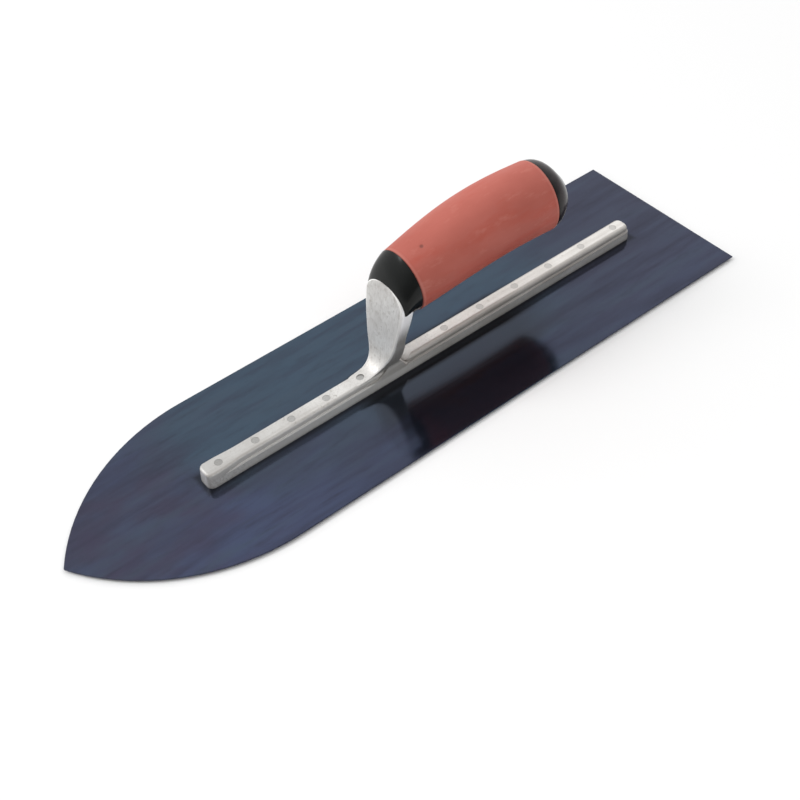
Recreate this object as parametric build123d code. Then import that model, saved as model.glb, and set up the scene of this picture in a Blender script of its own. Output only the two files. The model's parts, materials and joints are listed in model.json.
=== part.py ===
from build123d import *
import os
from math import atan2, cos, degrees, radians, sin, tan

# Steel finishing trowel with a pointed toe, in millimetres.
# +X runs from the toe to the heel and +Z is up. Z = 0 is the blade's working face, and the
# origin is under the middle of the blade. Heights are given above the blade's top face.

# Blade: 16 x 4 1/2 inch, tempered and blued
BLADE_LENGTH = 406.4
BLADE_WIDTH = 114.3
BLADE_T = 0.8
TOE_RUN = 99.9          # length of the two arcs that meet at the toe
TOE_TIP_R = 1.0
EDGE_BREAK = 0.15       # the corner ground off all round the blade

# Mounting bar: a flange the whole way along, with a rib on it behind the shank
BAR_FRONT = -123.4
BAR_REAR = 171.7
BAR_TOP = 9.5
FLANGE_H = 6.2
FLANGE_W = 11.4
FLANGE_DRAFT = 2.3
SHOULDER_H = 1.2        # the flange's sloping shoulder, which runs up to the rib
BAR_CORNER_R = 3.6
RIB_W = 9.8
RIB_DRAFT = 3.0
RIB_TOP_R = 2.6
RIB_STEP = 0.4          # the rear rib ends this far in front of the flange's end
NOSE_FOOT = 2.6         # where the rear rib's sloping nose starts
NOSE_RUN = 5.5
SEAT_RAMP = 9.0         # the shoulder fades out over this length beside the shank's root

# Foot of the shank: the front rib, which widens to the flange's width at its tip
FOOT_W = 9.4
FOOT_DRAFT = 5.5
FOOT_TOP_R = 1.6
FOOT_BACK = -8.0
FLARE_START = -103.0
FLARE_END = -114.0
FLARE_R = 60.0

# Rivets: 7/8 inch apart in the foot, and about 1 inch apart behind it
RIVET_R = 2.15
RIVET_SINK_R = 2.8      # where it is countersunk into the working face
FRONT_RIVETS = 5
FRONT_RIVET_X = -24.3
FRONT_PITCH = 22.3
REAR_RIVETS = 6
REAR_RIVET_X = 33.2
REAR_PITCH = 25.75

# Shank: a leaf-shaped arm that stands on the bar and carries the handle
# sections as height, front x, back x, half width
ARM_ROOT = [
    (9.0, -31.0, -1.9, 4.2),
    (9.9, -24.5, -1.9, 4.6),
    (12.0, -17.3, -1.9, 5.6),
    (15.0, -13.9, -1.9, 7.1),
    (19.5, -11.6, -1.9, 9.3),
    (23.5, -10.55, -1.9, 10.9),
    (27.0, -9.88, -1.9, 12.0),
]
ARM = [
    (27.0, -9.88, -1.9, 12.0),
    (35.0, -8.54, -1.5, 13.5),
    (43.0, -7.19, 0.4, 14.7),
    (51.3, -5.8, 2.3, 15.4),
]
HEAD_RISE = 11.3        # the rounded head, above the last of those sections
HEAD_TOP_X = -3.9       # its front leans back to here
HEAD_STEPS = (0, 20, 38, 54, 68, 80)    # degrees round its outline
RIM_R = 2.2
TOP_RIM_R = 0.25
BACK_RIM_R = 0.8
ROOT = [(-17.0, 6.2), (-11.0, 9.6), (-6.0, 12.2), (-1.9, 12.2), (2.2, 6.2)]
LEDGE_X = -3.5          # the collar's front edge meets the back of the head here
TONGUE_BACK = 4.0
TONGUE_INSET = 3.0

# Handle: elliptical sections as x, height of centre, half height, half width
HANDLE = [
    (2.0, 58.4, 17.4, 17.0),
    (33.0, 63.9, 19.7, 19.2),
    (62.0, 66.8, 20.9, 19.7),
    (84.0, 66.4, 21.4, 19.1),
    (104.0, 64.7, 21.6, 18.5),
]
SEAM_TILT = 5.0         # both ends of the grip lean forward at the top
FRONT_SEAM = (6.9, 59.5, 18.0, 17.5)
REAR_SEAM = (99.5, 65.3, 21.5, 18.9)
GRIP_T = 4.0
LIP_R = 0.9
SEAM_STEP = 0.35        # collar and cap lie this far below the grip's skin
COLLAR = [(-3.5, 51.0, 11.6, 15.8), (3.0, 58.4, 15.9, 17.0)]
CAP = [(104.0, 64.9, 19.2, 17.9), (108.2, 64.8, 15.0, 15.4), (112.6, 64.8, 9.4, 10.2)]
CAP_EDGE_R = 1.2

# Bolt through the handle into the shank's boss, measured along its own tilted axis
BOLT_Z = 58.9           # height of the axis at x = 0
BOLT_TILT = 2.9
BOLT_R = 4.0
BOLT_TIP = 9.0
BOLT_SEAT = 105.5
HEAD_R = 6.5
HEAD_H = 5.0
SOCKET_R = 3.4
SOCKET_DEPTH = 3.0
WASHER_R = 7.4
WASHER_T = 1.2
POCKET_R = 8.0          # the cap's counterbore round the bolt's head
BOSS_R = 8.5
BOSS_START = 2.0
BOSS_END = 28.0
SPIGOT_R = 11.0
SPIGOT_L = 3.0
CLEARANCE = 0.3


def up(height):
    return height + BLADE_T


# ---- rivets

def rivet(x):
    shaft = extrude(Pos(x, 0, 0) * Circle(RIVET_R), up(BAR_TOP))
    shaft = chamfer(shaft.edges().group_by(Axis.Z)[-1], EDGE_BREAK)
    return shaft + Pos(x, 0, BLADE_T / 2) * Cone(RIVET_SINK_R, RIVET_R, BLADE_T)


def rivet_hole(x):
    bore = extrude(Pos(x, 0, 0) * Circle(RIVET_R), up(BAR_TOP) + 1)
    return bore + Pos(x, 0, BLADE_T / 2) * Cone(RIVET_SINK_R, RIVET_R, BLADE_T)


def front_places():
    return [FRONT_RIVET_X - i * FRONT_PITCH for i in range(FRONT_RIVETS)]


def rear_places():
    return [REAR_RIVET_X + i * REAR_PITCH for i in range(REAR_RIVETS)]


def rivet_holes():
    return [rivet_hole(x) for x in front_places() + rear_places()]


# ---- blade

def blade():
    toe = (-BLADE_LENGTH / 2, 0)
    heel = BLADE_LENGTH / 2
    shoulder = toe[0] + TOE_RUN
    half = BLADE_WIDTH / 2
    near_arc = TangentArc((shoulder, -half), toe, tangent=(-1, 0))
    far_arc = TangentArc((shoulder, half), toe, tangent=(-1, 0))
    sides = Polyline((shoulder, -half), (heel, -half), (heel, half), (shoulder, half))
    plate = extrude(make_face([near_arc, sides, far_arc]), BLADE_T)
    tip = plate.edges().filter_by(Axis.Z).sort_by(Axis.X)[0]
    plate = fillet(tip, TOE_TIP_R)
    rims = plate.edges().group_by(Axis.Z)
    plate = chamfer(rims[0] + rims[-1], EDGE_BREAK)
    return plate - rivet_holes()


# ---- mounting bar

def inset(height, draft):
    return height * tan(radians(draft))


def half_flange(height):
    """The flange's half width at a height up its drafted side."""
    return FLANGE_W / 2 - inset(height, FLANGE_DRAFT)


def mirrored(near):
    """A closed outline from the points along its near side, front to back."""
    return make_face(Polyline(near + [(x, -y) for x, y in reversed(near)], close=True))


def flange_plan(height):
    half = half_flange(height)
    length = BAR_REAR - BAR_FRONT - FLANGE_W + 2 * half
    middle = Pos((BAR_REAR + BAR_FRONT) / 2, 0, up(height))
    return middle * RectangleRounded(length, 2 * half, BAR_CORNER_R)


def flange():
    side_h = FLANGE_H - SHOULDER_H
    slope = degrees(atan2(half_flange(side_h) - RIB_W / 2, SHOULDER_H))
    body = extrude(flange_plan(0), side_h, taper=FLANGE_DRAFT)
    body += extrude(flange_plan(side_h), SHOULDER_H, taper=slope)
    return body + shoulder_fill(root_outline()) + shoulder_fill(tip_outline())


def shoulder_fill(outline):
    """Carries the flange's side straight up past the shoulder."""
    return extrude(Pos(0, 0, up(FLANGE_H - SHOULDER_H)) * outline, SHOULDER_H, taper=FLANGE_DRAFT)


def root_outline():
    front, back = ROOT[0][0], ROOT[-1][0]
    narrow = RIB_W / 2
    wide = half_flange(FLANGE_H - SHOULDER_H)
    return mirrored([(front - SEAT_RAMP, -narrow), (front, -wide), (back, -wide), (back + SEAT_RAMP, -narrow)])


def tip_outline():
    height = FLANGE_H - SHOULDER_H
    wide = half_flange(height)
    tip = BAR_FRONT + inset(height, FLANGE_DRAFT)
    outline = mirrored([(tip, -wide), (FLARE_END, -wide), (FLARE_START, -RIB_W / 2)])
    return fillet(outline.vertices().group_by(Axis.X)[0], BAR_CORNER_R)


def rear_rib():
    end = BAR_REAR - RIB_STEP
    middle = Pos((end + NOSE_FOOT) / 2, 0, up(FLANGE_H))
    outline = middle * RectangleRounded(end - NOSE_FOOT, RIB_W, BAR_CORNER_R)
    rib = extrude(outline, BAR_TOP - FLANGE_H, taper=RIB_DRAFT)
    rib = fillet(rib.faces().sort_by(Axis.Z)[-1].edges(), RIB_TOP_R)
    low = (NOSE_FOOT, up(FLANGE_H))
    high = (NOSE_FOOT + NOSE_RUN, up(BAR_TOP))
    slope = Spline(low, high, tangents=[(1, 1.3), (1, 0)])
    above = Polyline(high, (high[0], high[1] + 1), (low[0] - 1, high[1] + 1), (low[0] - 1, low[1]), low)
    return rib - extrude(Plane.XZ * make_face([slope, above]), RIB_W, both=True)


def mounting_bar():
    return flange() + rear_rib() - rivet_holes()


# ---- shank

def foot():
    narrow = FOOT_W / 2
    wide = half_flange(FLANGE_H)
    tip = BAR_FRONT + inset(FLANGE_H, FLANGE_DRAFT)
    outline = mirrored([(tip, -wide), (FLARE_END, -wide), (FLARE_START, -narrow), (FOOT_BACK, -narrow)])
    outline = fillet(outline.vertices().group_by(Axis.X)[0], BAR_CORNER_R)
    flare = [v for v in outline.vertices() if FLARE_END - 1 < v.X < FLARE_START + 1]
    outline = fillet(flare, FLARE_R)
    rib = extrude(Pos(0, 0, up(FLANGE_H)) * outline, BAR_TOP - FLANGE_H, taper=FOOT_DRAFT)
    return fillet(rib.faces().sort_by(Axis.Z)[-1].edges(), FOOT_TOP_R)


def slab(plane, outline, reach):
    """The outline, drawn on a plane, carried the same distance to both sides of it."""
    return extrude(plane.offset(-reach) * outline, 2 * reach)


def section(height, front, back, half_width, front_r, back_r=0):
    block = Pos((front + back) / 2, 0, up(height)) * Rectangle(back - front, 2 * half_width)
    block = fillet(block.vertices().group_by(Axis.X)[0], front_r)
    if back_r:
        block = fillet(block.vertices().group_by(Axis.X)[-1], back_r)
    return block


def arm():
    """The leaf, curving up out of the foot and then flat to the shoulders of the head."""
    return leaf(ARM_ROOT) + leaf(ARM)


def leaf(rows):
    return loft([section(*row, RIM_R, BACK_RIM_R) for row in rows])


def head_section(angle):
    height, front, _, half_width = ARM[-1]
    rise = sin(radians(angle))
    lean = rise * (HEAD_TOP_X - front)
    rim = RIM_R + rise * (TOP_RIM_R - RIM_R)
    width = half_width * cos(radians(angle))
    return section(height + HEAD_RISE * rise, front + lean, LEDGE_X, width, rim)


def head():
    """The half-round top of the leaf, in front of the collar."""
    return loft([head_section(angle) for angle in HEAD_STEPS])


def head_outline(less):
    """Half an ellipse on the arm's shoulders, that much inside the head's own outline."""
    height, _, _, half_width = ARM[-1]
    rim = EllipticalCenterArc((0, up(height)), half_width - less, HEAD_RISE - less, arc_size=180)
    return make_face([rim, Line(rim @ 1, rim @ 0)])


def tongue():
    """The part of the head that the collar covers."""
    return extrude(Plane.YZ.offset(LEDGE_X) * head_outline(TONGUE_INSET), TONGUE_BACK - LEDGE_X)


def root():
    """The broad root of the arm, which carries on the flange's sides."""
    height = ROOT[2][1] - FLANGE_H
    front, back = ROOT[0][0], ROOT[-1][0]
    width = 2 * half_flange(FLANGE_H)
    block = Pos((front + back) / 2, 0, up(FLANGE_H)) * Rectangle(back - front, width)
    points = [(x, up(z)) for x, z in ROOT]
    rise = Spline(points[:3], tangents=[(1, 0.3), (1, 0)])
    fall = Polyline(points[2:])
    profile = make_face([rise, fall, Line(points[-1], points[0])])
    return extrude(block, height, taper=FLANGE_DRAFT) & slab(Plane.XZ, profile, width)


def bolt_plane(distance=0.0):
    """The plane across the bolt's axis at a distance along it."""
    tilt = radians(BOLT_TILT)
    along = Vector(cos(tilt), 0, sin(tilt))
    return Plane(origin=Vector(0, 0, up(BOLT_Z)) + along * distance, x_dir=(0, 1, 0), z_dir=along)


def rod(radius, start, end):
    """A round bar on the bolt's axis."""
    return extrude(bolt_plane(start) * Circle(radius), end - start)


def shank():
    body = arm() + head() + tongue() + foot() + root()
    body += rod(BOSS_R, BOSS_START, BOSS_END)
    body -= rod(BOLT_R, BOLT_TIP - 1, BOSS_END + 1)
    return body - [rivet_hole(x) for x in front_places()]


# ---- handle

def ring(x, centre, half_height, half_width, less=0.0, tilt=0.0):
    """An elliptical section of the handle, leaning forward at the top by the tilt."""
    lean = radians(tilt)
    plane = Plane(origin=(x, 0, up(centre)), x_dir=(0, 1, 0), z_dir=(cos(lean), 0, sin(lean)))
    return plane * Ellipse(half_width - less, half_height - less)


def seam_plane(seam):
    lean = radians(SEAM_TILT)
    return Plane(origin=(seam[0], 0, up(seam[1])), x_dir=(0, 1, 0), z_dir=(cos(lean), 0, sin(lean)))


def between_seams(body):
    body = split(body, bisect_by=seam_plane(FRONT_SEAM), keep=Keep.TOP)
    return split(body, bisect_by=seam_plane(REAR_SEAM), keep=Keep.BOTTOM)


def handle_body(less=0.0):
    return between_seams(loft([ring(*section, less=less) for section in HANDLE]))


def soft_grip():
    skin = handle_body()
    ends = skin.faces().filter_by(GeomType.PLANE)
    skin = fillet(ends.edges(), LIP_R)
    return skin - handle_body(GRIP_T)


def handle_core():
    core = handle_body(GRIP_T)
    core += rod(SPIGOT_R, FRONT_SEAM[0] - SPIGOT_L, REAR_SEAM[0] + SPIGOT_L)
    core -= rod(BOSS_R + CLEARANCE, BOSS_START, BOSS_END + CLEARANCE)
    return core - rod(BOLT_R + CLEARANCE, 0, BOLT_SEAT)


def front_collar():
    sections = [ring(*section) for section in COLLAR]
    sections.append(ring(*FRONT_SEAM, less=SEAM_STEP, tilt=SEAM_TILT))
    collar = loft(sections)
    shoulder, _, back, _ = ARM[-1]
    depth = back + CLEARANCE - LEDGE_X
    collar -= Pos(LEDGE_X + depth / 2, 0, up(shoulder) - 15) * Box(depth, 60, 30)
    collar -= tongue()
    collar -= rod(SPIGOT_R, FRONT_SEAM[0] - SPIGOT_L, FRONT_SEAM[0] + SPIGOT_L)
    return collar - rod(BOSS_R + CLEARANCE, BOSS_START, BOSS_END)


def end_cap():
    sections = [ring(*REAR_SEAM, less=SEAM_STEP, tilt=SEAM_TILT)]
    sections += [ring(*section) for section in CAP]
    cap = loft(sections)
    cap = fillet(cap.faces().sort_by(Axis.X)[-1].edges(), CAP_EDGE_R)
    cap -= rod(SPIGOT_R, REAR_SEAM[0] - SPIGOT_L, REAR_SEAM[0] + SPIGOT_L)
    cap -= rod(BOLT_R + CLEARANCE, REAR_SEAM[0], BOLT_SEAT)
    return cap - rod(POCKET_R, BOLT_SEAT, CAP[-1][0] + 5)


def handle_bolt():
    seat = BOLT_SEAT + WASHER_T
    bolt = rod(BOLT_R, BOLT_TIP, seat) + rod(HEAD_R, seat, seat + HEAD_H)
    rim = bolt.edges().filter_by(GeomType.CIRCLE).sort_by(Axis.X)[-1]
    bolt = chamfer(rim, 0.6)
    top = seat + HEAD_H
    socket = bolt_plane(top - SOCKET_DEPTH) * RegularPolygon(SOCKET_R, 6)
    return bolt - extrude(socket, SOCKET_DEPTH + 1)


def bolt_washer():
    return rod(WASHER_R, BOLT_SEAT, BOLT_SEAT + WASHER_T) - rod(BOLT_R, BOLT_SEAT - 1, BOLT_SEAT + 3)


NODES = {
    "blade": blade,
    "mounting_bar": mounting_bar,
    "shank": shank,
    "front_rivets": lambda: Compound([rivet(x) for x in front_places()]),
    "rear_rivets": lambda: Compound([rivet(x) for x in rear_places()]),
    "handle_core": handle_core,
    "front_collar": front_collar,
    "soft_grip": soft_grip,
    "end_cap": end_cap,
    "handle_bolt": handle_bolt,
    "bolt_washer": bolt_washer,
}

os.makedirs("parts", exist_ok=True)
for name, make in NODES.items():
    export_step(make(), f"parts/{name}.step")
    print(name)
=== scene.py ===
import json
from math import cos, radians, sin

import bpy
from mathutils import Matrix, Vector

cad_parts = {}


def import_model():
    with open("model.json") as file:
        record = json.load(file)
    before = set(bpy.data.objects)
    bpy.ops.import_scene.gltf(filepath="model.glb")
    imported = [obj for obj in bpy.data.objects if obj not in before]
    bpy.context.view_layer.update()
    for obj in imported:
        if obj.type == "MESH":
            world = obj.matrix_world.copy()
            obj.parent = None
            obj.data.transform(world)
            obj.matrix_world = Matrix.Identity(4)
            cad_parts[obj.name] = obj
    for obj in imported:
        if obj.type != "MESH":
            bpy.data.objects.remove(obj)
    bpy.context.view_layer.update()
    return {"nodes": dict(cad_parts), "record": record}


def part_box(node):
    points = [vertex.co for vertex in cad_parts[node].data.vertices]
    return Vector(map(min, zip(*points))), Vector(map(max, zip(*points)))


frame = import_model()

# Steel finishing trowel, in metres, in the part's frame: +X from the toe to the heel, +Z up.

NODES = frame["nodes"]
BAR_LOW, BAR_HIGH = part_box("mounting_bar")
BAR_TOP = BAR_HIGH[2]
SHANK_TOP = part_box("shank")[1][2]
SEAM_LEAN = radians(5)      # both ends of the grip lean forward at the top


def along_handle(point):
    """How far a point is along the handle, square to the grip's leaning ends."""
    return point.x * cos(SEAM_LEAN) + point.z * sin(SEAM_LEAN)


GRIP_ALONG = [along_handle(vertex.co) for vertex in NODES["soft_grip"].data.vertices]
FRONT_SEAM, REAR_SEAM = min(GRIP_ALONG), max(GRIP_ALONG)
GRIP_LOW, GRIP_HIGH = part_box("soft_grip")
GATE_MARK = (GRIP_LOW[0] + 0.0117, -0.0051, GRIP_HIGH[2] - 0.009)      # the dimple near the grip's front end
HANDLE_AXIS = (cos(SEAM_LEAN), 0, sin(SEAM_LEAN))

# Where finishes, painted light and painted shade change along X: each pair is where a change starts and
# where it is complete.
HEEL_HAZE = (0.07, 0.15)
TOE_HAZE = (-0.105, -0.145)
TEAL_ENDS = (0.16, 0.08)
INDIGO_GROWS = (0.0, -0.12)
# The handle's reflection and a deeper shade beside the bar are painted on the blade between HAND_FRONT and
# HAND_REAR.
HAND_FRONT = (-0.036, -0.02)      # the blade's part that lies below the hand
HAND_REAR = (0.1, 0.07)
# The grip's reflection is painted on the blade between GRIP_FRONT and GRIP_REAR.
GRIP_FRONT = (-0.014, -0.002)     # the blade's part that lies below the grip alone
GRIP_REAR = (0.07, 0.056)
TOP_SHADE_GROWS = (-0.04, -0.115)
TOP_LIGHT_GROWS = (0.008, 0.03)
SIDE_LIGHT_FADES = (0.0, 0.03)
PITS_GROW = (-0.07, -0.11)
SHOULDER_SHADE_GROWS = (-0.02, 0.012)


# ---- node helpers

class Nodes:
    """A short way to write a material's node tree."""

    def __init__(self, name):
        self.material = bpy.data.materials.new(name)
        self.material.use_nodes = True
        self.tree = self.material.node_tree
        self.shader = self.tree.nodes["Principled BSDF"]
        self.place = self.add("ShaderNodeTexCoord").outputs["Object"]

    def add(self, kind, **settings):
        node = self.tree.nodes.new(kind)
        for key, value in settings.items():
            setattr(node, key, value)
        return node

    def link(self, source, target):
        self.tree.links.new(source, target)

    def set(self, **values):
        for key, value in values.items():
            self.shader.inputs[key.replace("_", " ")].default_value = value

    def stretched(self, scale):
        """The object's own coordinates, scaled along each axis."""
        mapping = self.add("ShaderNodeMapping")
        mapping.inputs["Scale"].default_value = scale
        self.link(self.place, mapping.inputs["Vector"])
        return mapping.outputs["Vector"]

    def noise(self, scale, detail=3.0, rough=0.55, stretch=(1, 1, 1)):
        node = self.add("ShaderNodeTexNoise")
        node.inputs["Scale"].default_value = scale
        node.inputs["Detail"].default_value = detail
        node.inputs["Roughness"].default_value = rough
        self.link(self.stretched(stretch), node.inputs["Vector"])
        return node.outputs["Fac"]

    def fit(self, value, low, high, to_low=0.0, to_high=1.0, smooth=False):
        """The value carried from one range to another."""
        node = self.add("ShaderNodeMapRange")
        if smooth:
            node.interpolation_type = "SMOOTHSTEP"
        names = ["From Min", "From Max", "To Min", "To Max"]
        for name, number in zip(names, [low, high, to_low, to_high]):
            node.inputs[name].default_value = number
        self.link(value, node.inputs["Value"])
        return node.outputs["Result"]

    def math(self, operation, first, second):
        node = self.add("ShaderNodeMath", operation=operation)
        for socket, value in zip(node.inputs, [first, second]):
            if isinstance(value, (int, float)):
                socket.default_value = value
            else:
                self.link(value, socket)
        return node.outputs["Value"]

    def product(self, first, *others):
        """Masks multiplied together: 1 only where every one of them is."""
        for other in others:
            first = self.math("MULTIPLY", first, other)
        return first

    def mix(self, factor, first, second):
        """A colour between two colours."""
        node = self.add("ShaderNodeMix", data_type="RGBA")
        self.link(factor, node.inputs["Factor"])
        for socket, value in zip([node.inputs[6], node.inputs[7]], [first, second]):
            if isinstance(value, tuple):
                socket.default_value = (*value, 1)
            else:
                self.link(value, socket)
        return node.outputs[2]

    def axis(self, name, source=None):
        """One axis of the object's own coordinates, or of another vector."""
        split = self.add("ShaderNodeSeparateXYZ")
        self.link(source or self.place, split.inputs["Vector"])
        return split.outputs[name]

    def facing(self, name):
        """How far the surface faces along an axis, whichever way round."""
        geometry = self.add("ShaderNodeNewGeometry")
        return self.math("ABSOLUTE", self.axis(name, geometry.outputs["Normal"]), 0)

    def distance_off(self, name, middle, half):
        """How far a point is beyond a span along one axis, given the span's middle and half its length."""
        from_middle = self.math("SUBTRACT", self.axis(name), middle)
        return self.math("SUBTRACT", self.math("ABSOLUTE", from_middle, 0), half)

    def dot(self, direction):
        """The object's own coordinates measured along a direction."""
        node = self.add("ShaderNodeVectorMath", operation="DOT_PRODUCT")
        node.inputs[1].default_value = direction
        self.link(self.place, node.inputs[0])
        return node.outputs["Value"]

    def crevice(self, distance):
        """1 in a tight inner corner and 0 in the open, for the shade painted there."""
        node = self.add("ShaderNodeAmbientOcclusion", samples=12)
        node.inputs["Distance"].default_value = distance
        return self.math("SUBTRACT", 1, node.outputs["AO"])

    def distance_from(self, point):
        """How far a point of the surface is from a given point."""
        node = self.add("ShaderNodeVectorMath", operation="DISTANCE")
        node.inputs[1].default_value = point
        self.link(self.place, node.inputs[0])
        return node.outputs["Value"]

    def bump(self, height, distance, strength=1.0, after=None):
        """A bumped normal, on top of another one if there is one."""
        node = self.add("ShaderNodeBump")
        node.inputs["Strength"].default_value = strength
        node.inputs["Distance"].default_value = distance
        self.link(height, node.inputs["Height"])
        if after is not None:
            self.link(after, node.inputs["Normal"])
        return node.outputs["Normal"]

    def colour(self, source):
        self.link(source, self.shader.inputs["Base Color"])

    def roughness(self, source):
        self.link(source, self.shader.inputs["Roughness"])

    def normal(self, source):
        self.link(source, self.shader.inputs["Normal"])


# ---- materials

def blued_steel():
    """Tempered blue steel: teal along the far side, blue towards the toe's near edge, purple clouds over the
    toe, streaks and smears lengthwise, a painted reflection of the handle and of the grip, and painted shade
    beside the bar."""
    m = Nodes("blued_steel")
    m.set(Metallic=0.9)
    slate = (0.040, 0.0445, 0.067)
    haze = (0.048, 0.054, 0.084)
    teal = (0.048, 0.075, 0.106)
    indigo = (0.054, 0.067, 0.121)
    plum = (0.053, 0.046, 0.078)
    dark_streak = (0.035, 0.037, 0.058)
    pale_streak = (0.053, 0.074, 0.102)
    dark_smear = (0.030, 0.032, 0.048)
    pale_smear = (0.060, 0.074, 0.105)
    handle_reflection = (0.0365, 0.0425, 0.0565)
    grip_reflection = (0.032, 0.054, 0.088)
    bar_shade = (0.018, 0.020, 0.027)
    deep_bar_shade = (0.015, 0.016, 0.020)

    drift = m.noise(22, detail=3, stretch=(0.5, 1, 1))
    wander = m.fit(drift, 0.3, 0.7, -0.022, 0.022)
    along = m.math("ADD", m.axis("X"), wander)
    across = m.math("ADD", m.axis("Y"), wander)
    heel = m.fit(along, *HEEL_HAZE, smooth=True)
    toe = m.fit(along, *TOE_HAZE, smooth=True)
    middle = m.product(m.math("SUBTRACT", 1, toe), m.fit(along, *TEAL_ENDS, smooth=True))
    far_side = m.fit(across, -0.03, 0.015, 0.12, 1, smooth=True)
    near_edge = m.fit(across, -0.012, -0.05, smooth=True)
    towards_toe = m.fit(along, *INDIGO_GROWS, 0.25, 1, smooth=True)
    base = m.mix(m.math("MAXIMUM", heel, toe), slate, haze)
    base = m.mix(m.product(middle, far_side), base, teal)
    base = m.mix(m.product(near_edge, towards_toe), base, indigo)

    clouds = m.noise(42, detail=3, rough=0.5, stretch=(0.6, 1, 1))
    base = m.mix(m.product(m.fit(clouds, 0.42, 0.66), m.fit(toe, 0, 1, 0.15, 0.8)), base, plum)
    base = m.mix(m.product(m.fit(clouds, 0.54, 0.34), m.fit(toe, 0, 1, 0.1, 0.6)), base, indigo)
    streaks = m.noise(95, detail=5, rough=0.62, stretch=(0.09, 1, 1))
    base = m.mix(m.fit(streaks, 0.48, 0.68, 0, 0.7), base, dark_streak)
    base = m.mix(m.fit(streaks, 0.5, 0.3, 0, 0.5), base, pale_streak)
    smears = m.noise(330, detail=5, rough=0.7, stretch=(0.14, 1, 1))
    base = m.mix(m.fit(smears, 0.52, 0.72, 0, 0.45), base, dark_smear)
    base = m.mix(m.fit(smears, 0.46, 0.3, 0, 0.3), base, pale_smear)

    x = m.axis("X")
    # Painted reflection of the handle: a duller slate on the blade below the hand, beside the bar.
    by_hand = m.product(m.fit(x, *HAND_FRONT, smooth=True), m.fit(x, *HAND_REAR))
    near_bar = m.product(m.fit(m.axis("Y"), -0.004, -0.008), m.fit(across, -0.034, -0.026, 0, 0.85))
    base = m.mix(m.product(by_hand, near_bar), base, handle_reflection)
    # Painted reflection of the grip: a deeper blue on the blade below the grip, out beyond the bar's side.
    under_grip = m.product(m.fit(x, *GRIP_FRONT, smooth=True), m.fit(x, *GRIP_REAR, smooth=True))
    outside = m.fit(across, -0.026, -0.034, 0, 0.8)
    base = m.mix(m.product(under_grip, outside), base, grip_reflection)

    # Painted shade on the blade: a thin dark line all round the bar, and a wider one below the hand.
    bar_middle = (BAR_LOW + BAR_HIGH) / 2
    bar_half = (BAR_HIGH - BAR_LOW) / 2
    off_side = m.distance_off("Y", bar_middle[1], bar_half[1])
    off_end = m.distance_off("X", bar_middle[0], bar_half[0])
    uneven = m.fit(clouds, 0.3, 0.7, -0.0005, 0.0005)
    off_bar = m.math("ADD", m.math("MAXIMUM", off_side, off_end), uneven)
    on_top = m.fit(m.axis("Z"), 0.0005, 0.0007)
    thin_line = m.fit(off_bar, 0.0035, 0.0006, 0, 0.8, smooth=True)
    wide_line = m.fit(off_bar, 0.0085, 0.0050, 0, 0.92, smooth=True)
    base = m.mix(m.product(thin_line, on_top), base, bar_shade)
    base = m.mix(m.product(wide_line, by_hand, on_top), base, deep_bar_shade)

    m.colour(base)
    lines = m.noise(900, detail=3, stretch=(0.02, 1, 1))
    m.roughness(m.fit(lines, 0.3, 0.7, 0.10, 0.16))
    m.normal(m.bump(lines, 0.00001, 0.25))
    return m.material


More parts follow.
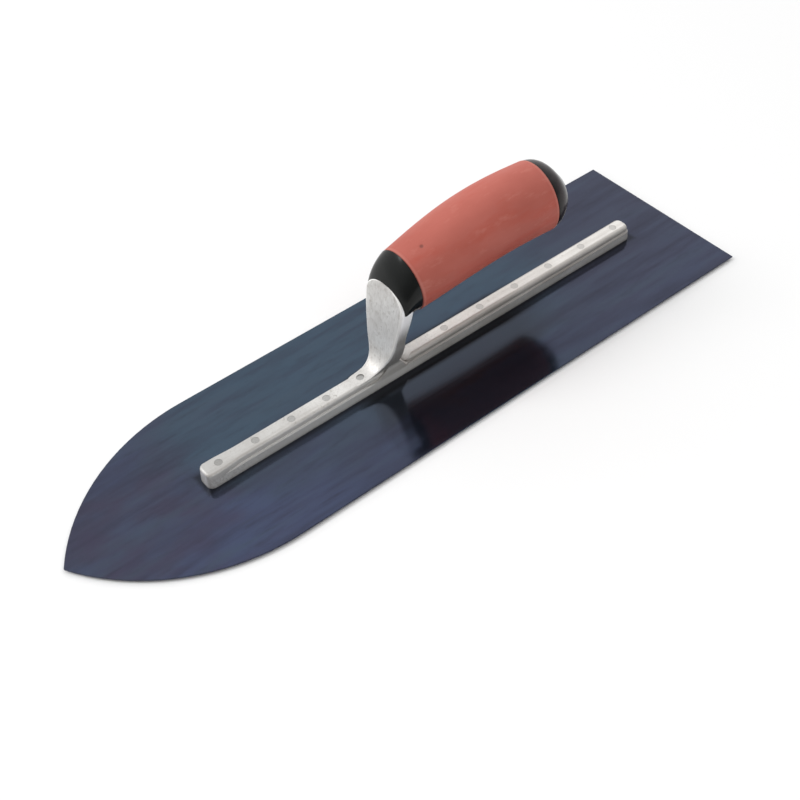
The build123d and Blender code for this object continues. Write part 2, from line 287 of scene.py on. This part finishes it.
def cast_aluminium():
    """Tumbled cast alloy, brushed lightly: painted light and shade on the bar and on the arm's sides, pits
    at the bar's front end, a painted highlight on the arm's rim, and painted shade on the shoulder behind
    the shank and in the inner corners."""
    m = Nodes("cast_aluminium")
    m.set(Metallic=0.45)
    alloy = (0.57, 0.555, 0.535)
    pale_alloy = (0.685, 0.675, 0.655)
    dark_grain = (0.32, 0.30, 0.28)
    drag_mark = (0.34, 0.31, 0.28)
    speck = (0.25, 0.225, 0.20)
    shaded_top = (0.37, 0.365, 0.355)
    lit_top = (0.95, 0.90, 0.85)
    lit_side = (0.96, 0.95, 0.92)
    pit = (0.42, 0.385, 0.36)
    shaded_side = (0.22, 0.215, 0.21)
    head_highlight = (0.97, 0.97, 0.98)
    rim_highlight = (0.95, 0.945, 0.93)
    shoulder_shade = (0.27, 0.24, 0.21)
    corner_shade = (0.10, 0.085, 0.07)

    x = m.axis("X")
    up = m.axis("Z")
    grain = m.noise(1100, detail=4, stretch=(1, 1, 0.2))
    cloud = m.noise(70, detail=3)
    specks = m.noise(420, detail=3, rough=0.7)
    drag = m.noise(260, detail=4, stretch=(0.06, 1, 1))
    base = m.mix(m.fit(cloud, 0.35, 0.65), alloy, pale_alloy)
    base = m.mix(m.fit(grain, 0.45, 0.8, 0, 0.35), base, dark_grain)
    base = m.mix(m.fit(drag, 0.52, 0.70, 0, 0.5), base, drag_mark)
    base = m.mix(m.fit(specks, 0.60, 0.72, 0, 0.55), base, speck)

    on_bar = m.fit(up, BAR_TOP + 0.003, BAR_TOP, smooth=True)
    on_arm = m.math("SUBTRACT", 1, on_bar)
    bar_top = m.product(on_bar, m.fit(m.facing("Z"), 0.6, 0.9, smooth=True))
    # Painted shade on the bar's top towards the toe, and painted light on it towards the heel.
    painted_top_shade = m.fit(x, *TOP_SHADE_GROWS, 0.05, 0.62)
    painted_top_light = m.fit(x, *TOP_LIGHT_GROWS, 0, 0.32)
    base = m.mix(m.product(bar_top, painted_top_shade), base, shaded_top)
    base = m.mix(m.product(bar_top, painted_top_light), base, lit_top)

    sideways = m.facing("Y")
    side = m.fit(sideways, 0.6, 0.95, smooth=True)
    # Painted light on the bar's sides, strongest at the front and fading towards the heel.
    side_light_amount = m.fit(x, *SIDE_LIGHT_FADES, 0.8, 0.2)
    base = m.mix(m.product(side, on_bar, side_light_amount), base, lit_side)
    pitted_end = m.product(m.fit(x, *PITS_GROW, 0.15, 1), m.fit(up, 0.0075, 0.0060))
    pits = m.fit(m.noise(1000, detail=3, rough=0.7), 0.48, 0.6, 0, 0.4)
    base = m.mix(m.product(pitted_end, pits, on_bar), base, pit)
    # Painted shade on the arm's sides, and a painted highlight on their upper part near the head.
    base = m.mix(m.product(side, on_arm, 0.6), base, shaded_side)
    highlight_height = m.fit(up, SHANK_TOP - 0.036, SHANK_TOP - 0.022, smooth=True)
    base = m.mix(m.product(side, highlight_height), base, head_highlight)

    # Painted highlight along the arm's rounded rim, where it turns from the front to the sides.
    turning = m.fit(sideways, 0.12, 0.4, smooth=True)
    rim = m.product(turning, m.fit(sideways, 0.9, 0.7, smooth=True))
    base = m.mix(m.product(rim, on_arm, 0.7), base, rim_highlight)
    # Painted shade, brown and uneven, on the bar's rounded shoulder, strongest behind the shank.
    shoulder = m.product(turning, m.fit(up, 0.0050, 0.0062))
    behind = m.product(on_bar, m.fit(x, *SHOULDER_SHADE_GROWS, 0.35, 1))
    painted_shoulder_shade = m.product(shoulder, behind, m.fit(drag, 0.3, 0.7, 0.3, 0.75))
    base = m.mix(painted_shoulder_shade, base, shoulder_shade)
    # Painted shade in the inner corners, found by ambient occlusion and flecked unevenly.
    painted_corner_shade = m.product(m.fit(m.crevice(0.003), 0.22, 0.6), m.fit(specks, 0.3, 0.7, 0.6, 1), 0.8)
    base = m.mix(painted_corner_shade, base, corner_shade)

    m.colour(base)
    m.roughness(m.fit(grain, 0.3, 0.7, 0.40, 0.54))
    m.normal(m.bump(grain, 0.00003, 0.6, after=m.bump(cloud, 0.0002, 0.35)))
    return m.material


def rivet_metal():
    """Softer alloy, a little greyer than the bar, turned flush and scuffed, with painted shade towards the
    toe and painted light at the rear.
    """
    m = Nodes("rivet_metal")
    m.set(Metallic=0.55)
    grain = m.noise(1500, detail=3)
    base = m.mix(m.fit(grain, 0.3, 0.7), (0.34, 0.335, 0.325), (0.45, 0.445, 0.435))
    # Painted shade on the rivets towards the toe and painted light towards the heel, as on the bar's top.
    base = m.mix(m.fit(m.axis("X"), -0.05, -0.115, 0, 0.35), base, (0.12, 0.112, 0.102))
    base = m.mix(m.fit(m.axis("X"), 0.01, 0.03, 0, 0.32), base, (0.80, 0.755, 0.71))
    m.colour(base)
    m.roughness(m.fit(grain, 0.3, 0.7, 0.42, 0.6))
    m.normal(m.bump(grain, 0.00003, 0.5))
    return m.material


def red_rubber():
    """Matte soft-touch rubber: fine moulded grain, red streaks, pale scuffs, a moulded lip at both ends with
    a painted highlight on it, and painted shade in the seam beyond it and in the dimple."""
    m = Nodes("red_rubber")
    m.set(Specular_IOR_Level=0.35)
    cloud = m.noise(30, detail=4, stretch=(0.6, 1, 1))
    streaks = m.noise(85, detail=5, rough=0.6, stretch=(0.22, 1, 1))
    scuffs = m.noise(210, detail=5, rough=0.7, stretch=(0.3, 1, 1))
    grain = m.noise(2600, detail=2)
    base = m.mix(m.fit(cloud, 0.35, 0.65), (0.37, 0.084, 0.060), (0.44, 0.112, 0.084))
    base = m.mix(m.fit(streaks, 0.5, 0.7, 0, 0.7), base, (0.42, 0.068, 0.042))
    base = m.mix(m.fit(scuffs, 0.56, 0.76, 0, 0.5), base, (0.52, 0.20, 0.16))
    along = m.dot(HANDLE_AXIS)
    from_front = m.math("SUBTRACT", along, FRONT_SEAM)
    from_rear = m.math("SUBTRACT", REAR_SEAM, along)
    from_end = m.math("MINIMUM", from_front, from_rear)
    lip = m.product(m.fit(from_end, 0.0002, 0.0009), m.fit(from_end, 0.0024, 0.0013, smooth=True))
    # A painted highlight on the moulded lip.
    base = m.mix(m.fit(lip, 0, 1, 0, 0.35), base, (0.54, 0.20, 0.16))
    # Painted shade in the seam beyond the lip.
    base = m.mix(m.fit(from_end, 0.0007, 0.0001, 0, 0.85), base, (0.06, 0.022, 0.018))
    dimple = m.fit(m.distance_from(GATE_MARK), 0.0014, 0.0005, smooth=True)
    # Painted shade in the dimple.
    base = m.mix(m.product(dimple, 0.7), base, (0.16, 0.045, 0.035))
    m.colour(base)
    m.roughness(m.fit(scuffs, 0.3, 0.7, 0.52, 0.68))
    moulded = m.bump(m.math("SUBTRACT", lip, dimple), 0.0004, 0.6)
    m.normal(m.bump(grain, 0.00004, 0.5, after=m.bump(cloud, 0.0004, 0.2, after=moulded)))
    return m.material


def black_plastic():
    """Satin moulded plastic, faintly streaked and a little dusty, and worn paler on the rear cap."""
    m = Nodes("black_plastic")
    m.set(Specular_IOR_Level=0.22)
    cloud = m.noise(40, detail=3)
    dust = m.noise(300, detail=5, rough=0.7)
    grain = m.noise(1800, detail=2)
    base = m.mix(m.fit(cloud, 0.35, 0.65), (0.003, 0.0036, 0.0034), (0.0055, 0.0068, 0.0062))
    base = m.mix(m.fit(dust, 0.55, 0.8, 0, 0.25), base, (0.022, 0.026, 0.024))
    along = m.dot(HANDLE_AXIS)
    worn = m.product(m.fit(along, REAR_SEAM - 0.001, REAR_SEAM + 0.004), m.fit(dust, 0.3, 0.7, 0.4, 1))
    base = m.mix(worn, base, (0.042, 0.032, 0.034))
    m.colour(base)
    m.roughness(m.fit(cloud, 0.3, 0.7, 0.17, 0.25))
    m.normal(m.bump(grain, 0.00003, 0.35))
    return m.material


def core_plastic():
    """Dull dark moulding, inside the grip."""
    m = Nodes("core_plastic")
    grain = m.noise(900, detail=3)
    m.colour(m.mix(m.fit(grain, 0.3, 0.7), (0.03, 0.03, 0.032), (0.05, 0.05, 0.052)))
    m.roughness(m.fit(grain, 0.3, 0.7, 0.5, 0.65))
    m.normal(m.bump(grain, 0.00005, 0.4))
    return m.material


def bolt_steel():
    """Plated steel with fine turning marks."""
    m = Nodes("bolt_steel")
    m.set(Metallic=1.0)
    grain = m.noise(1200, detail=3, stretch=(0.2, 1, 1))
    m.colour(m.mix(m.fit(grain, 0.3, 0.7), (0.36, 0.36, 0.37), (0.50, 0.50, 0.51)))
    m.roughness(m.fit(grain, 0.3, 0.7, 0.26, 0.4))
    m.normal(m.bump(grain, 0.00002, 0.5))
    return m.material


def dress():
    """Every CAD node takes the material of its slot in the record."""
    makers = [blued_steel, cast_aluminium, rivet_metal, red_rubber, black_plastic, core_plastic, bolt_steel]
    made = {maker.__name__: maker() for maker in makers}
    for part in frame["record"]["subparts"]:
        mesh = NODES[part["node"]].data
        mesh.materials.clear()
        mesh.materials.append(made[part["material_slot"]])


# ---- floor, light and camera

FLOOR_GAP = 0.0014      # how far the floor lies below the blade, so that a soft shadow shows at its edges


def floor():
    """A plain pale floor."""
    bpy.ops.mesh.primitive_plane_add(size=60, location=(0, 0, -FLOOR_GAP))
    plane = bpy.context.object
    plane.name = "floor"
    m = Nodes("floor_white")
    m.set(Roughness=0.9, Specular_IOR_Level=0.1)
    soft = m.noise(3, detail=2)
    m.colour(m.mix(soft, (0.81, 0.81, 0.81), (0.83, 0.83, 0.83)))
    plane.data.materials.append(m.material)


BRIGHT_SIDE = (0.15, 0.62, 0.77)      # the direction that most of the studio's light comes from
DIM_LIGHT = 0.34
BRIGHT_LIGHT = 1.2


def world():
    """A studio that is bright behind and above the trowel and dim on its near side, with plain white
    behind everything that the camera sees."""
    made = bpy.data.worlds.new("studio")
    made.use_nodes = True
    tree = made.node_tree
    place = tree.nodes.new("ShaderNodeTexCoord")
    facing = tree.nodes.new("ShaderNodeVectorMath")
    facing.operation = "DOT_PRODUCT"
    facing.inputs[1].default_value = BRIGHT_SIDE
    tree.links.new(place.outputs["Generated"], facing.inputs[0])
    fade = tree.nodes.new("ShaderNodeMapRange")
    fade.interpolation_type = "SMOOTHSTEP"
    ends = {"From Min": -0.35, "From Max": 0.75, "To Min": DIM_LIGHT, "To Max": BRIGHT_LIGHT}
    for name, number in ends.items():
        fade.inputs[name].default_value = number
    tree.links.new(facing.outputs["Value"], fade.inputs["Value"])
    tree.links.new(fade.outputs["Result"], tree.nodes["Background"].inputs["Strength"])
    tree.nodes["Background"].inputs["Color"].default_value = (1, 1, 1, 1)
    plain = tree.nodes.new("ShaderNodeBackground")
    plain.inputs["Color"].default_value = (1, 1, 1, 1)
    path = tree.nodes.new("ShaderNodeLightPath")
    choice = tree.nodes.new("ShaderNodeMixShader")
    tree.links.new(path.outputs["Is Camera Ray"], choice.inputs["Fac"])
    tree.links.new(tree.nodes["Background"].outputs["Background"], choice.inputs[1])
    tree.links.new(plain.outputs["Background"], choice.inputs[2])
    tree.links.new(choice.outputs["Shader"], tree.nodes["World Output"].inputs["Surface"])
    bpy.context.scene.world = made


def softbox(name, place, size, power):
    """A square area light that faces the middle of the trowel."""
    light = bpy.data.lights.new(name, "AREA")
    light.size = size
    light.energy = power
    lamp = bpy.data.objects.new(name, light)
    lamp.location = place
    lamp.rotation_euler = (-Vector(place)).to_track_quat("-Z", "Y").to_euler()
    bpy.context.scene.collection.objects.link(lamp)


CAMERA = Vector((-0.27175, -0.38807, 0.47615))
AIM = Vector((-0.01294, -0.01862, 0.0))
ROLL = -4.61      # degrees
LENS = 55.73      # millimetres


def camera():
    """A camera at the near side, looking down on the trowel from the toe's end."""
    data = bpy.data.cameras.new("camera")
    data.lens = LENS
    data.sensor_width = 36
    data.clip_start = 0.01
    eye = bpy.data.objects.new("camera", data)
    turn = (AIM - CAMERA).to_track_quat("-Z", "Y").to_matrix() @ Matrix.Rotation(radians(ROLL), 3, "Z")
    eye.matrix_world = Matrix.Translation(CAMERA) @ turn.to_4x4()
    bpy.context.scene.collection.objects.link(eye)
    bpy.context.scene.camera = eye


dress()
floor()
world()
softbox("key", place=(-1.5, 1.2, 1.7), size=1.0, power=24)
softbox("fill", place=(0.15, -0.75, 0.95), size=0.6, power=0.7)
camera()
bpy.context.scene.view_settings.view_transform = "Standard"
